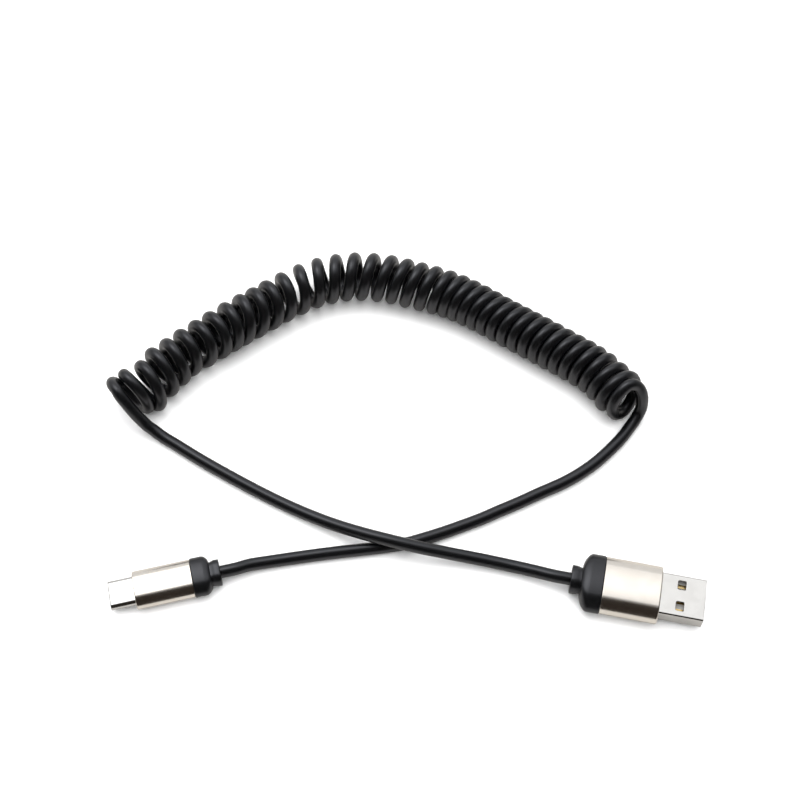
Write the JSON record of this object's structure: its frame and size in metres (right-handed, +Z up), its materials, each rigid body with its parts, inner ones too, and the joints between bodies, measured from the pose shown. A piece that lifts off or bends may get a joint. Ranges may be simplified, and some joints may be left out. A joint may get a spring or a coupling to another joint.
{
  "type": "coiled usb charging cable",
  "caption": "Curly black charging cable bowed in a wide arc, its tails crossing in front, with a wide flat plug at one end and a small rounded plug at the other.",
  "frame": {"origin": "on the floor, at the bottom centre of the box round the two plugs", "axes": "+X from the small USB-C plug to the wide USB-A plug, +Y from the plugs to the coil behind them, +Z up from the floor"},
  "size_m": [0.1646, 0.1175, 0.0143],
  "materials": {
    "cord_jacket": "smooth satin black jacket",
    "boot_moulding": "satin black moulding",
    "satin_sleeve": "fine satin, warm silver",
    "plug_shell": "bright rolled sheet",
    "insulator": "smooth white moulding",
    "mouth_liner": "smooth black moulding",
    "contacts": "gold plated"
  },
  "bodies": {
    "root": {"cable_coil": "cord_jacket", "cable_tail_usb_a": "cord_jacket", "cable_tail_usb_c": "cord_jacket", "usb_a_boot": "boot_moulding", "usb_c_boot": "boot_moulding", "usb_a_sleeve": "satin_sleeve", "usb_c_sleeve": "satin_sleeve", "usb_a_shell": "plug_shell", "usb_c_shell": "plug_shell", "usb_a_insulator": "insulator", "usb_c_insulator": "mouth_liner", "usb_a_contact_1": "contacts", "usb_a_contact_2": "contacts", "usb_a_contact_3": "contacts", "usb_a_contact_4": "contacts", "usb_c_upper_contact_1": "contacts", "usb_c_upper_contact_2": "contacts", "usb_c_upper_contact_3": "contacts", "usb_c_upper_contact_4": "contacts", "usb_c_upper_contact_5": "contacts", "usb_c_upper_contact_6": "contacts", "usb_c_upper_contact_7": "contacts", "usb_c_lower_contact_1": "contacts", "usb_c_lower_contact_2": "contacts", "usb_c_lower_contact_3": "contacts", "usb_c_lower_contact_4": "contacts", "usb_c_lower_contact_5": "contacts"}
  },
  "joints": []
}
